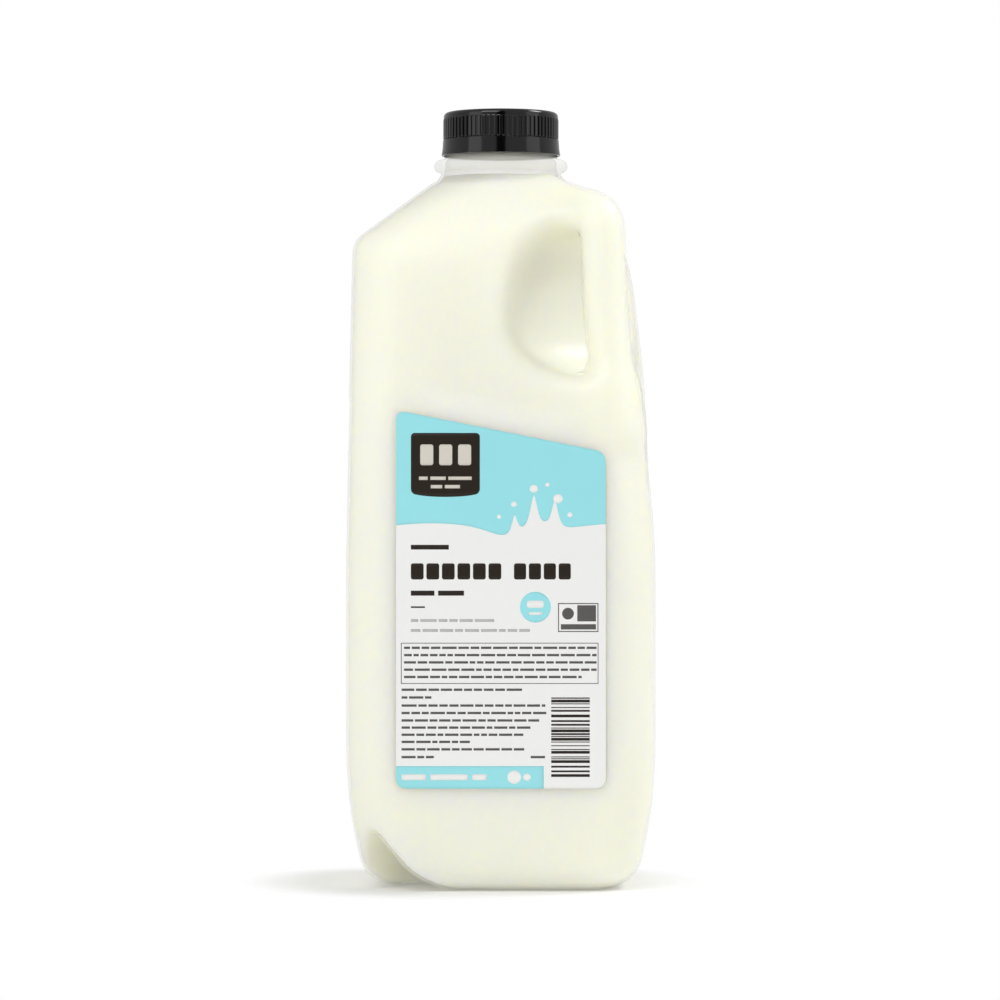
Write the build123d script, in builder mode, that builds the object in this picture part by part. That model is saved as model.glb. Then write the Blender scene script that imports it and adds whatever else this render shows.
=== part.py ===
from build123d import *
import os
from math import atan, cos, pi, sin, sqrt, tan

# Blow-moulded half-gallon milk jug: a square bottle with its handle on one
# corner, filled with milk and shut with a ribbed screw cap.
# Millimetres, +Z up, origin on the ground under the neck's axis.
# The label faces -Y. The handle stands on the corner between +X and -Y, so
# the bottle is the same on both sides of the diagonal plane through it.

# --- Driving dimensions -----------------------------------------------------
# Bottle body. Its left and back sides are boxy. Its front and right sides,
# which meet at the handle, lean further in towards the top.
body_width = 101.0
corner_radius = 17.0
wall = 1.0
heel_radius = 9.0
draft_height = 48.0
draft_inset = 7.0
lean_start = 107.0
shoulder_height = 212.0
boxy_lean = 3.0
handle_side_lean = 9.3

# Roof between the shoulder and the neck: it slopes at one angle over the boxy
# sides, and over the handle's sides it first bulges up as a brow
roof_rise = 21.0
brow_rise = 11.5
brow_inset = 2.6
crest_share = 0.45

# Neck: each ring stands out from the one above it, down to the foot
finish_radius = 17.4
finish_wall = 1.4
finish_height = 12.4
neck_step = 1.3
waist_step = 1.3
bead_stand_out = 2.2
bead_height = 5.0
bead_to_finish = 0.8
foot_stand_out = 2.1
foot_flat = 0.3
foot_flare_height = 2.0
waist_height = 0.4

# Finger bay: a hollow cut across the handle's corner
bay_wall_inset = 40.9
bay_depth = 62.0
bay_below_shoulder = 45.0
bay_above_shoulder = 7.0
bay_corner_radius = 15.0
bay_half_length = 47.0
bay_lip_radius = 3.0

# Handle strap: round, sloping from the roof out over the bay and then down.
# Its insets are measured inwards from the outside of the corner to the middle
# of the strap.
strap_radius = 7.5
strap_root_inset = 46.4
strap_root_above_shoulder = 14.5
strap_bend_inset = 17.4
strap_bend_above_shoulder = 6.4
strap_waist_inset = 15.2
strap_waist_below_shoulder = 31.0
strap_foot_inset = 10.4
strap_foot_below_shoulder = 64.0
strap_top_bend_radius = 11.0
strap_foot_bend_radius = 60.0

# Groove under the base, which leaves a sole on each side of it
groove_half_width = 15.2
groove_height = 22.0
groove_crown_radius = 5.0
sole_edge_radius = 2.5

# Shallow label panels in the four sides, and the label in the front one
panel_depth = 0.5
panel_side_margin = 15.0
panel_low_height = 31.0
panel_to_bay = 5.0
panel_corner_radius = 6.0
label_side_margin = 1.7
label_low_margin = 3.0
label_left_margin = 6.0
label_right_margin = 19.5
label_corner_radius = 3.0
label_thickness = 0.25

# Milk, up to just under the bead of the neck
milk_below_bead = 1.0

# Cap, and the tamper band that hangs under it on thin bridges
cap_clearance = 0.4
cap_skirt_wall = 1.4
cap_top_thickness = 2.4
cap_skirt_height = 9.0
cap_edge_radius = 1.6
rib_count = 72
rib_depth = 0.4
rib_top_margin = 2.6
band_clearance = 0.3
band_gap = 0.5
band_foot_wall = 0.75
band_foot_height = 1.0
band_taper_height = 1.2
bridge_count = 8
bridge_width = 1.2
bridge_depth = 0.9

# --- Sizes worked out from them ---------------------------------------------
half_width = body_width / 2
diagonal = Vector(1, -1, 0).normalized()
across = Vector(1, 1, 0).normalized()
handle_plane = Plane(origin=(0, 0, 0), x_dir=diagonal, z_dir=-across)
front = Plane(origin=(0, 0, 0), x_dir=(1, 0, 0), z_dir=(0, -1, 0))
corner_distance = (half_width - corner_radius) * sqrt(2) + corner_radius
# Radii and heights of the neck, from the foot where it leaves the roof
neck_radius = finish_radius + neck_step
waist_radius = neck_radius + waist_step
bead_radius = waist_radius + bead_stand_out
foot_radius = waist_radius + foot_stand_out
neck_foot_height = shoulder_height + roof_rise
bead_low_height = neck_foot_height + foot_flare_height + waist_height
bead_top_height = bead_low_height + bead_height
finish_low_height = bead_top_height + bead_to_finish
finish_top_height = finish_low_height + finish_height

# Sizes of the cap and heights of the bay and of the label panels
cap_bore_radius = finish_radius + cap_clearance
cap_radius = cap_bore_radius + cap_skirt_wall
cap_top_height = finish_top_height + cap_top_thickness
cap_low_height = cap_top_height - cap_skirt_height
bay_low_height = shoulder_height - bay_below_shoulder
bay_height = bay_below_shoulder + bay_above_shoulder
panel_width = body_width - 2 * panel_side_margin
panel_high_height = bay_low_height - panel_to_bay

# Slope of the roof over the boxy sides. Where an upright wall meets it, moving
# both inwards by the same amount lowers their corner by roof_share of it.
roof_slope = roof_rise / (half_width - boxy_lean - foot_radius)
roof_share = tan((pi / 2 - atan(roof_slope)) / 2)


def side_distances(z):
    """Distances of the boxy and of the leaning sides from the axis at height z."""
    draft = draft_inset * max(0, 1 - z / draft_height) ** 2
    lean = max(0, (z - lean_start) / (shoulder_height - lean_start))
    boxy = half_width - draft - boxy_lean * lean
    leaning = half_width - draft - handle_side_lean * lean**2
    return boxy, leaning


def heel_levels(inset):
    """Levels round the heel: height, the two side distances, corner radius."""
    radius = heel_radius - inset
    steps = 5
    levels = []
    for step in range(steps):
        angle = pi / 2 * step / steps
        z = inset + radius * (1 - cos(angle))
        stand_in = inset + radius * (1 - sin(angle))
        boxy, leaning = side_distances(z)
        levels.append((z, boxy - stand_in, leaning - stand_in, corner_radius - inset))
    return levels


def side_levels(inset):
    """Levels up the sides, from the top of the heel to below the shoulder."""
    draft_steps = 3
    lean_steps = 6
    drafted = draft_height - heel_radius
    leaned = shoulder_height - lean_start
    heights = [heel_radius + drafted * step / draft_steps for step in range(draft_steps + 1)]
    heights += [lean_start + leaned * step / lean_steps for step in range(lean_steps)]
    levels = []
    for z in heights:
        boxy, leaning = side_distances(z)
        levels.append((z, boxy - inset, leaning - inset, corner_radius - inset))
    return levels


def roof_levels(inset):
    """Levels of the roof: shoulder, handle-side brow, crest, foot of the neck."""
    boxy, leaning = side_distances(shoulder_height)
    crest_rise = (roof_rise + brow_rise) / 2
    brow = leaning - brow_inset
    crest = brow + (foot_radius - brow) * crest_share
    ring = foot_radius - foot_flat
    levels = [
        (0, boxy, leaning, corner_radius),
        (brow_rise, boxy - brow_rise / roof_slope, brow, corner_radius),
        (crest_rise, boxy - crest_rise / roof_slope, crest, (corner_radius + ring) / 2),
        (roof_rise, foot_radius, foot_radius, ring),
    ]
    drop = inset * roof_share
    return [
        (shoulder_height + rise - drop, boxy - inset, leaning - inset, radius - inset)
        for rise, boxy, leaning, radius in levels
    ]


def bottle_block(inset):
    """The bottle from its soles to the neck, with every face moved inwards."""
    levels = heel_levels(inset) + side_levels(inset) + roof_levels(inset)
    with BuildPart() as block:
        for z, boxy, leaning, radius in levels:
            shift = (leaning - boxy) / 2
            with BuildSketch(Plane.XY.offset(z)):
                with Locations((shift, -shift)):
                    RectangleRounded(boxy + leaning, boxy + leaning, radius)
        loft(ruled=True)
    return block.part


def finger_bay(inset):
    """The hollow across the handle's corner, grown by inset."""
    middle = diagonal * (corner_distance - bay_wall_inset + bay_depth / 2)
    middle += Vector(0, 0, bay_low_height + bay_height / 2)
    steps = 6
    reach = bay_half_length * 0.9
    with BuildPart() as bay:
        for step in range(-steps, steps + 1):
            distance = reach * step / steps
            share = sqrt(1 - (distance / bay_half_length) ** 2)
            level = Plane(origin=middle + across * distance, x_dir=diagonal, z_dir=across)
            with BuildSketch(level):
                RectangleRounded(
                    bay_depth * share + 2 * inset,
                    bay_height * share + 2 * inset,
                    bay_corner_radius * share + inset,
                )
        loft()
    return bay.part


def handle_strap(inset):
    """The round strap from the roof down into the corner under the bay."""
    strap_root_distance = corner_distance - strap_root_inset
    strap_root_height = shoulder_height + strap_root_above_shoulder
    strap_bend_distance = corner_distance - strap_bend_inset
    strap_bend_height = shoulder_height + strap_bend_above_shoulder
    strap_waist_height = shoulder_height - strap_waist_below_shoulder
    strap_foot_height = shoulder_height - strap_foot_below_shoulder
    with BuildPart() as strap:
        with BuildLine(handle_plane) as route:
            FilletPolyline(
                (strap_root_distance, strap_root_height),
                (strap_bend_distance, strap_bend_height),
                (corner_distance - strap_waist_inset, strap_waist_height),
                (corner_distance - strap_foot_inset, strap_foot_height),
                radius=[strap_top_bend_radius, strap_foot_bend_radius],
            )
        start = diagonal * strap_root_distance + Vector(0, 0, strap_root_height)
        bend = diagonal * strap_bend_distance + Vector(0, 0, strap_bend_height)
        with BuildSketch(Plane(origin=start, x_dir=across, z_dir=bend - start)):
            Circle(strap_radius - inset)
        sweep(path=route.wires()[0])
    return strap.part


def base_groove(inset):
    """The arch under the base, running across the handle's diagonal."""
    half = groove_half_width + inset
    crown = groove_height + inset
    below = -heel_radius
    with BuildPart() as groove:
        with BuildSketch(handle_plane) as section:
            with BuildLine():
                Polyline(
                    (-half, 0), (0, crown), (half, 0), (half, below), (-half, below), (-half, 0)
                )
            make_face()
            fillet(section.vertices().sort_by(Axis.Y)[-1], groove_crown_radius)
        extrude(amount=body_width, both=True)
    return groove.part


def is_groove_rim(edge, sole_height):
    """Whether an edge is one of the two straight rims between groove and sole."""
    if edge.geom_type != GeomType.LINE or abs(edge.center().Z - sole_height) > 0.001:
        return False
    return abs((edge % 0.5).dot(across)) > 0.999


def bottle_form(inset):
    """The bottle up to its neck, with every face moved inwards by inset."""
    block = bottle_block(inset)
    bay = finger_bay(inset)
    with BuildPart() as form:
        add(block)
        add(bay, mode=Mode.SUBTRACT)
        fillet(new_edges(block, bay, combined=form.part), bay_lip_radius - inset)
        add(handle_strap(inset))
        add(base_groove(inset), mode=Mode.SUBTRACT)
        rims = form.edges().filter_by(lambda edge: is_groove_rim(edge, inset))
        fillet(rims, sole_edge_radius)
    return form.part


def neck_post():
    """The neck outside, from within the roof up to the mouth."""
    root_height = neck_foot_height - wall
    root_radius = foot_radius - foot_flat
    with BuildPart() as neck:
        with BuildSketch(Plane.XZ):
            with BuildLine():
                Polyline(
                    (0, finish_top_height),
                    (0, root_height),
                    (root_radius, root_height),
                    (root_radius, neck_foot_height),
                    (waist_radius, neck_foot_height + foot_flare_height),
                    (waist_radius, bead_low_height),
                )
                ThreePointArc(
                    (waist_radius, bead_low_height),
                    (bead_radius, bead_low_height + bead_height / 2),
                    (waist_radius, bead_top_height),
                )
                Polyline(
                    (waist_radius, bead_top_height),
                    (neck_radius, bead_top_height),
                    (neck_radius, finish_low_height),
                    (finish_radius, finish_low_height),
                    (finish_radius, finish_top_height),
                    (0, finish_top_height),
                )
            make_face()
        revolve(axis=Axis.Z)
    return neck.part


def neck_bore():
    """The neck's hollow, narrowing from its waist to the mouth."""
    root_height = neck_foot_height - 2 * wall
    with BuildPart() as bore:
        with BuildSketch(Plane.XZ):
            with BuildLine():
                Polyline(
                    (0, root_height),
                    (waist_radius - wall, root_height),
                    (waist_radius - wall, bead_low_height),
                    (finish_radius - finish_wall, finish_low_height),
                    (finish_radius - finish_wall, finish_top_height),
                    (0, finish_top_height),
                    (0, root_height),
                )
            make_face()
        revolve(axis=Axis.Z)
    return bore.part


def side_window(side, width, low, left_high, right_high, radius):
    """A prism outwards from the axis through one side, with rounded corners."""
    with BuildPart() as prism:
        with BuildSketch(side) as outline:
            with BuildLine():
                Polyline(
                    (-width / 2, low),
                    (width / 2, low),
                    (width / 2, right_high),
                    (-width / 2, left_high),
                    (-width / 2, low),
                )
            make_face()
            fillet(outline.vertices(), radius)
        extrude(amount=body_width)
    return prism.part


def side_layer(outer_inset, inner_inset):
    """The layer of the bottle's sides between two insets."""
    with BuildPart() as layer:
        add(bottle_block(outer_inset))
        add(bottle_block(inner_inset), mode=Mode.SUBTRACT)
    return layer.part


os.makedirs("parts", exist_ok=True)

# Everything inside the bottle's wall
with BuildPart() as hollow:
    add(bottle_form(wall))
    add(neck_bore())

# The label panels, one in each side
with BuildPart() as panel_windows:
    for turn in range(4):
        side = Plane(
            origin=(0, 0, 0),
            x_dir=front.x_dir.rotate(Axis.Z, 90 * turn),
            z_dir=front.z_dir.rotate(Axis.Z, 90 * turn),
        )
        add(
            side_window(
                side,
                panel_width,
                panel_low_height,
                panel_high_height,
                panel_high_height,
                panel_corner_radius,
            )
        )
with BuildPart() as panels:
    add(side_layer(0, panel_depth))
    add(panel_windows.part, mode=Mode.INTERSECT)

# The bottle: a shell that is open at the mouth
with BuildPart() as jug:
    add(bottle_form(0))
    add(panels.part, mode=Mode.SUBTRACT)
    add(neck_post())
    add(hollow.part, mode=Mode.SUBTRACT)

# The milk: all of the hollow, up to its level in the neck
with BuildPart() as milk:
    add(hollow.part)
    split(bisect_by=Plane.XY.offset(bead_low_height - milk_below_bead), keep=Keep.BOTTOM)

# The label, a film on the front panel
with BuildPart() as label:
    add(side_layer(panel_depth - label_thickness, panel_depth))
    add(
        side_window(
            front,
            panel_width - 2 * label_side_margin,
            panel_low_height + label_low_margin,
            panel_high_height - label_left_margin,
            panel_high_height - label_right_margin,
            label_corner_radius,
        ),
        mode=Mode.INTERSECT,
    )

# The cap: its inside rests on the mouth
with BuildPart() as cap:
    edge_height = cap_top_height - cap_edge_radius
    with BuildSketch(Plane.XZ):
        with BuildLine():
            Line((0, cap_top_height), (cap_radius - cap_edge_radius, cap_top_height))
            CenterArc((cap_radius - cap_edge_radius, edge_height), cap_edge_radius, 0, 90)
            Polyline(
                (cap_radius, edge_height),
                (cap_radius, cap_low_height),
                (cap_bore_radius, cap_low_height),
                (cap_bore_radius, finish_top_height),
                (0, finish_top_height),
                (0, cap_top_height),
            )
        make_face()
    revolve(axis=Axis.Z)
    with BuildSketch(Plane.XY.offset(cap_low_height)):
        with PolarLocations(cap_radius, rib_count):
            Rectangle(2 * rib_depth, pi * cap_radius / rib_count)
    extrude(amount=cap_skirt_height - rib_top_margin, mode=Mode.SUBTRACT)

# The tamper band, with the bridges that it hangs on
with BuildPart() as tamper_band:
    band_foot_bore_radius = neck_radius + band_clearance
    band_foot_radius = band_foot_bore_radius + band_foot_wall
    band_low_height = finish_low_height + band_clearance
    band_top_height = cap_low_height - band_gap
    taper_low_height = band_low_height + band_foot_height
    taper_high_height = taper_low_height + band_taper_height
    with BuildSketch(Plane.XZ):
        with BuildLine():
            Polyline(
                (band_foot_bore_radius, band_low_height),
                (band_foot_radius, band_low_height),
                (band_foot_radius, taper_low_height),
                (cap_radius, taper_high_height),
                (cap_radius, band_top_height),
                (cap_bore_radius, band_top_height),
                (cap_bore_radius, taper_high_height),
                (band_foot_bore_radius, taper_low_height),
                (band_foot_bore_radius, band_low_height),
            )
        make_face()
    revolve(axis=Axis.Z)
    with BuildSketch(Plane.XY.offset(band_top_height)):
        with PolarLocations(cap_bore_radius + bridge_depth / 2, bridge_count):
            Rectangle(bridge_depth, bridge_width)
    extrude(amount=band_gap)

pieces = {"jug": jug, "milk": milk, "label": label, "cap": cap, "tamper_band": tamper_band}
for name, piece in pieces.items():
    piece.part.label = name
    export_step(piece.part, f"parts/{name}.step")
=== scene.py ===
"""Looks of a square blow-moulded milk jug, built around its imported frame.

The bottle is a thin skin of natural polyethylene over its load of milk. The handle stands on
the corner between +X and -Y, the label faces -Y, and a ribbed black cap on a tamper band shuts
the neck. Lengths in the classes are millimetres from the ground and the neck's axis, and
every mesh is written in metres.
"""

from __future__ import annotations

import logging
import math
from collections.abc import Callable, Sequence
from dataclasses import dataclass, field
from enum import Enum

import bpy
import numpy as np
import openvdb
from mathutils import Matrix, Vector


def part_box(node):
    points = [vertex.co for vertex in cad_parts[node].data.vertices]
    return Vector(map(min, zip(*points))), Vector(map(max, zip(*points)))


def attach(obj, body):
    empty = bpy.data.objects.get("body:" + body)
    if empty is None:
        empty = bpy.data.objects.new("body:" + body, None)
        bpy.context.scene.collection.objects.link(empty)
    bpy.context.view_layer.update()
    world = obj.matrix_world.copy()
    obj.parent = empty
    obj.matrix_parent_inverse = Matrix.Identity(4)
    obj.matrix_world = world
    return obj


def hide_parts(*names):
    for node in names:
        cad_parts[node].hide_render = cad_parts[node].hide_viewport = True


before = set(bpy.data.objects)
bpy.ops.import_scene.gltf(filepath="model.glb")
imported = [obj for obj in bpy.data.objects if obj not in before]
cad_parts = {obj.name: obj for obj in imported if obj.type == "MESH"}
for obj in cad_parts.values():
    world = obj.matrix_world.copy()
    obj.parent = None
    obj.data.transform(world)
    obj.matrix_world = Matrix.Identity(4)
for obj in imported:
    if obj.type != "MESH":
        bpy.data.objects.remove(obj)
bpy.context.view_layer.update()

log = logging.getLogger("milk_jug")

MM = 0.001
BODY = "root"
LEAST_STEEPNESS = 0.05
LONGEST_MOVE = 1.0
SETTLE_STEPS = 4
FAR = 30.0
TINY = 1e-6
BODY_HALF_WIDTH = 50.47

Array = np.ndarray
Field = Callable[[Array], Array]
Point = tuple[float, float, float]


class Node(Enum):
    """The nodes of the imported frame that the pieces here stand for."""

    JUG = "jug"
    MILK = "milk"
    LABEL = "label"
    CAP = "cap"
    BAND = "tamper_band"


class Slot(Enum):
    """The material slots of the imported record."""

    JUG = "jug_plastic"
    MILK = "milk"
    LABEL = "label_film"
    CAP = "cap_plastic"


# --- Shapes of distance fields ----------------------------------------------------------------


def smoothstep(share: Array) -> Array:
    """Eases a share from 0 to 1, flat at both ends."""
    share = np.clip(share, 0.0, 1.0)
    return share * share * (3.0 - 2.0 * share)


def smooth_min(a: Array, b: Array, reach: float) -> Array:
    """The union of two distances, filled where they come within reach of each other."""
    near = np.maximum(reach - np.abs(a - b), 0.0) / reach
    return np.minimum(a, b) - near * near * reach / 4.0


def smooth_max(a: Array, b: Array, reach: float) -> Array:
    """The overlap of two distances, rounded off where they come within reach."""
    return -smooth_min(-a, -b, reach)


def round_max(a: Array, b: Array, radius: float) -> Array:
    """The overlap of two distances at right angles, its edge rounded to a radius.

    Args:
        a: The first distances.
        b: The second distances.
        radius: The edge's radius.

    Returns:
        The distances from the overlap.
    """
    a, b = a + radius, b + radius
    outside = np.hypot(np.maximum(a, 0.0), np.maximum(b, 0.0))
    return outside + np.minimum(np.maximum(a, b), 0.0) - radius


def gradient(distance: Field, points: Array, step: float = 0.04) -> Array:
    """The slope of a distance field at each point.

    Args:
        distance: The field.
        points: One point in each row.
        step: Half the distance between the two samples on each axis.

    Returns:
        One gradient in each row.
    """
    slopes = np.empty_like(points)
    for axis in range(3):
        shift = np.zeros(3)
        shift[axis] = step
        slopes[:, axis] = distance(points + shift) - distance(points - shift)
    return slopes / (2.0 * step)


def settle(distance: Field, points: Array, steps: int, axes: tuple[int, ...] = (0, 1, 2)) -> Array:
    """Moves points onto a field's surface.

    Args:
        distance: The field.
        points: One point in each row, near the surface.
        steps: How many times each point is corrected.
        axes: The axes along which a point may move.

    Returns:
        The moved points.
    """
    points = points.copy()
    allowed = np.zeros(3)
    allowed[list(axes)] = 1.0
    for _ in range(steps):
        slope = gradient(distance, points) * allowed
        steepness = np.maximum((slope * slope).sum(axis=1), LEAST_STEEPNESS)
        move = np.clip(distance(points) / steepness, -LONGEST_MOVE, LONGEST_MOVE)
        points -= move[:, None] * slope
    return points


# --- The form of the bottle -------------------------------------------------------------------


@dataclass(frozen=True)
class StrapRoute:
    """The middle line of the handle strap, in the upright plane through the handle's corner.

    Each corner is (distance from the axis, height, length that its bend takes on each side).
    """

    corners: tuple[tuple[float, float, float], ...] = (
        (16.0, 227.0, 0.0),
        (46.6, 219.8, 5.5),
        (48.4, 184.0, 15.0),
        (54.0, 150.0, 0.0),
    )
    bend_steps: int = 8

    def points(self) -> Array:
        """The line as points, with a smooth bend at each inner corner.

        Returns:
            A distance from the axis and a height in each row.
        """
        line = [self.corners[0][:2]]
        for before, corner, after in zip(self.corners, self.corners[1:], self.corners[2:]):
            middle = np.array(corner[:2])
            towards = np.array(before[:2]) - middle
            away = np.array(after[:2]) - middle
            start = middle + towards / np.linalg.norm(towards) * corner[2]
            end = middle + away / np.linalg.norm(away) * corner[2]
            for step in range(self.bend_steps + 1):
                share = step / self.bend_steps
                line.append(
                    start * (1 - share) ** 2 + middle * 2 * share * (1 - share) + end * share**2
                )
        line.append(self.corners[-1][:2])
        return np.array([tuple(point) for point in line])


@dataclass(frozen=True)
class BottleForm:
    """The outside of the bottle up to the middle of its neck, as a distance field.

    The left and back sides are boxy. The front and right sides lean back above the label and
    are scooped between their far post and the handle's corner. The form is the same on both
    sides of the diagonal plane through the handle.
    """

    half_width: float
    wall: float = 1.0
    corner_radius: float = 17.0
    heel_radius: float = 9.5
    draft_height: float = 48.0
    draft_inset: float = 7.0
    lean_start: float = 107.0
    shoulder: float = 212.0
    boxy_lean: float = 1.9
    post_lean: float = 8.6
    post_lean_power: float = 2.9
    grip_dip: float = 4.2
    grip_dip_low: float = 100.0
    grip_dip_high: float = 182.0
    grip_dip_reach: float = 22.0
    scoop_depth: float = 2.6
    scoop_fade_low: float = 165.0
    scoop_fade_length: float = 34.0
    scoop_start: float = -34.0
    scoop_rise: float = 17.0
    scoop_end: float = 6.0
    scoop_fall: float = 28.0
    crease_height: float = 151.8
    crease_slope: float = 0.2
    crease_softness: float = 9.0
    roof_rise: float = 21.0
    roof_below: float = 60.0
    roof_above: float = 3.0
    foot_radius: float = 22.1
    roof_round: float = 3.4
    roof_top_round: float = 1.4
    neck_radius: float = 20.0
    neck_blend: float = 2.6
    bay_middle: float = 54.5
    bay_height: float = 193.0
    bay_half_depth: float = 31.0
    bay_half_height: float = 26.0
    bay_half_length: float = 47.0
    bay_round: float = 7.0
    bay_power: float = 3.0
    strap_radius: float = 7.5
    strap_blend: float = 7.0
    strap_half_zone: float = 24.0
    strap_zone_low: float = 132.0
    groove_half_width: float = 13.3
    groove_height: float = 25.0
    groove_power: float = 1.3
    groove_crown: float = 4.6
    sole_round: float = 2.4
    panel_depth: float = 0.5
    panel_half_width: float = 35.5
    panel_low: float = 31.0
    panel_high: float = 162.0
    panel_edge: float = 1.6
    panel_fade: float = 7.5
    panel_corner: float = 6.0
    panel_past_crease: float = 6.0
    route: StrapRoute = StrapRoute()

    def crease(self, along: Array) -> Array:
        """Height of the crease over the label, at a place along a leaning side."""
        return self.crease_height - self.crease_slope * along

    def dip(self, along: Array, z: Array) -> Array:
        """How far a leaning side is drawn in, from its far post towards the handle.

        Args:
            along: Places along the side, rising towards the handle.
            z: Heights.

        Returns:
            The depth at each place.
        """
        rise = smoothstep((z - self.grip_dip_low) / (self.grip_dip_high - self.grip_dip_low))
        share = (along + self.grip_dip_reach) / (2.0 * self.grip_dip_reach)
        grip = self.grip_dip * rise * smoothstep(share)
        above = smoothstep((z - self.crease(along)) / self.crease_softness)
        fade = 1.0 - smoothstep((z - self.scoop_fade_low) / self.scoop_fade_length)
        span = smoothstep((along - self.scoop_start) / self.scoop_rise)
        span = span * (1.0 - smoothstep((along - self.scoop_end) / self.scoop_fall))
        return grip + self.scoop_depth * above * fade * span

    def panel(self, along: Array, z: Array, top: Array | float) -> Array:
        """How deep the shallow label panel of a side is at a place on it.

        Args:
            along: Places along the side.
            z: Heights.
            top: Height of the panel's top there.

        Returns:
            The depth at each place.
        """
        edge = smooth_max(
            np.abs(along) - self.panel_half_width, self.panel_low - z, self.panel_corner
        )
        fade = smoothstep((top - z) / self.panel_fade)
        return self.panel_depth * smoothstep(-edge / self.panel_edge) * fade

    def plan(self, x: Array, y: Array, sides: Sequence[Array], radius: Array | float) -> Array:
        """Distance from a square with rounded corners, in plan.

        Args:
            x: Places to the right of the axis.
            y: Places behind the axis.
            sides: Distances of the left, back, right and front sides from the axis.
            radius: The corner radius.

        Returns:
            The signed distances, negative inside.
        """
        left, back, right, front = sides
        return round_max(np.maximum(x - right, -x - left), np.maximum(y - back, -y - front), radius)

    def walls(self, x: Array, y: Array, z: Array) -> Array:
        """Distance from the four upright sides.

        Args:
            x: Places to the right of the axis.
            y: Places behind the axis.
            z: Heights.

        Returns:
            The signed distances, negative inside.
        """
        lean = np.clip((z - self.lean_start) / (self.shoulder - self.lean_start), 0.0, 1.2)
        draft = self.draft_inset * np.clip(1.0 - z / self.draft_height, 0.0, 1.2) ** 2
        boxy = self.half_width - draft - self.boxy_lean * lean
        leaning = self.half_width - draft - self.post_lean * lean**self.post_lean_power
        past = self.panel_past_crease
        sides = (
            boxy - self.panel(y, z, self.panel_high),
            boxy - self.panel(x, z, self.panel_high),
            leaning - self.dip(-y, z) - self.panel(-y, z, self.crease(-y) + past),
            leaning - self.dip(x, z) - self.panel(x, z, self.crease(x) + past),
        )
        return self.plan(x, y, sides, self.corner_radius)

    def roof(self, x: Array, y: Array, z: Array) -> Array:
        """Distance from the roof, which slopes from the shoulder up to the neck.

        Args:
            x: Places to the right of the axis.
            y: Places behind the axis.
            z: Heights.

        Returns:
            The signed distances, negative inside.
        """
        rise = np.clip(z - self.shoulder, -self.roof_below, self.roof_rise + self.roof_above)
        boxy_low = self.half_width - self.boxy_lean - 0.3
        leaning_low = self.half_width - self.post_lean - 0.4
        boxy = boxy_low - rise * (boxy_low - self.foot_radius) / self.roof_rise
        leaning = leaning_low - rise * (leaning_low - self.foot_radius) / self.roof_rise
        share = np.clip(rise / self.roof_rise, 0.0, 1.0)
        radius = self.corner_radius + (self.foot_radius - 0.3 - self.corner_radius) * share
        slant = math.sin(math.atan2(self.roof_rise, boxy_low - self.foot_radius))
        return self.plan(x, y, (boxy, boxy, leaning, leaning), radius) * slant

    def bay(self, u: Array, v: Array, z: Array) -> Array:
        """Distance from the finger bay, an egg-shaped hollow across the handle's corner.

        Args:
            u: Places along the handle's diagonal.
            v: Places across it.
            z: Heights.

        Returns:
            The signed distances, negative in the hollow.
        """
        power = self.bay_power
        a = np.abs(u - self.bay_middle) / self.bay_half_depth + TINY
        b = np.abs(z - self.bay_height) / self.bay_half_height + TINY
        c = np.abs(v) / self.bay_half_length
        section = (a**power + b**power) ** (1.0 / power)
        size = np.hypot(section, c)
        slope_a = (section / size) * (a / section) ** (power - 1.0) / self.bay_half_depth
        slope_b = (section / size) * (b / section) ** (power - 1.0) / self.bay_half_height
        slope_c = (c / size) / self.bay_half_length
        return (size - 1.0) / np.sqrt(slope_a**2 + slope_b**2 + slope_c**2)

    def strap(self, u: Array, v: Array, z: Array) -> Array:
        """Distance from the round handle strap.

        Args:
            u: Places along the handle's diagonal.
            v: Places across it.
            z: Heights.

        Returns:
            The signed distances, negative inside.
        """
        distance = np.full(u.shape, FAR)
        zone = (np.abs(v) < self.strap_half_zone) & (z > self.strap_zone_low)
        near = np.nonzero((u > 0.0) & zone)[0]
        place = np.stack([u[near], z[near]], axis=1)
        line = self.route.points()
        closest = np.full(len(near), np.inf)
        for start, end in zip(line, line[1:]):
            run = end - start
            share = np.clip((place - start) @ run / (run @ run), 0.0, 1.0)
            gap = place - start - share[:, None] * run
            closest = np.minimum(closest, (gap * gap).sum(axis=1))
        distance[near] = np.hypot(np.sqrt(closest), v[near]) - self.strap_radius
        return distance

    def groove(self, u: Array, z: Array) -> Array:
        """Distance from the arch under the base, which runs across the handle's diagonal.

        Args:
            u: Places along the handle's diagonal.
            z: Heights.

        Returns:
            The signed distances, negative in the arch.
        """
        reach = np.sqrt(u * u + self.groove_crown**2) / self.groove_half_width
        slope = self.groove_height * self.groove_power / self.groove_half_width
        steepness = np.hypot(1.0, slope * reach ** (self.groove_power - 1.0))
        return (z - self.groove_height * (1.0 - reach**self.groove_power)) / steepness

    def distance(self, points: Array) -> Array:
        """Distance of each point from the bottle's outside, negative inside.

        Args:
            points: One point in each row.

        Returns:
            The signed distances.
        """
        x, y, z = points.T
        u = (x - y) / math.sqrt(2.0)
        v = (x + y) / math.sqrt(2.0)
        form = round_max(self.walls(x, y, z), -z, self.heel_radius)
        form = smooth_max(form, self.roof(x, y, z), self.roof_round)
        form = smooth_max(form, z - self.shoulder - self.roof_rise, self.roof_top_round)
        form = smooth_max(form, -self.bay(u, v, z), self.bay_round)
        form = smooth_min(form, self.strap(u, v, z), self.strap_blend)
        neck = np.maximum(np.hypot(x, y) - self.neck_radius, self.shoulder - z)
        form = smooth_min(form, neck, self.neck_blend)
        return smooth_max(form, -self.groove(u, z), self.sole_round)


# --- Meshes -----------------------------------------------------------------------------------


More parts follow.
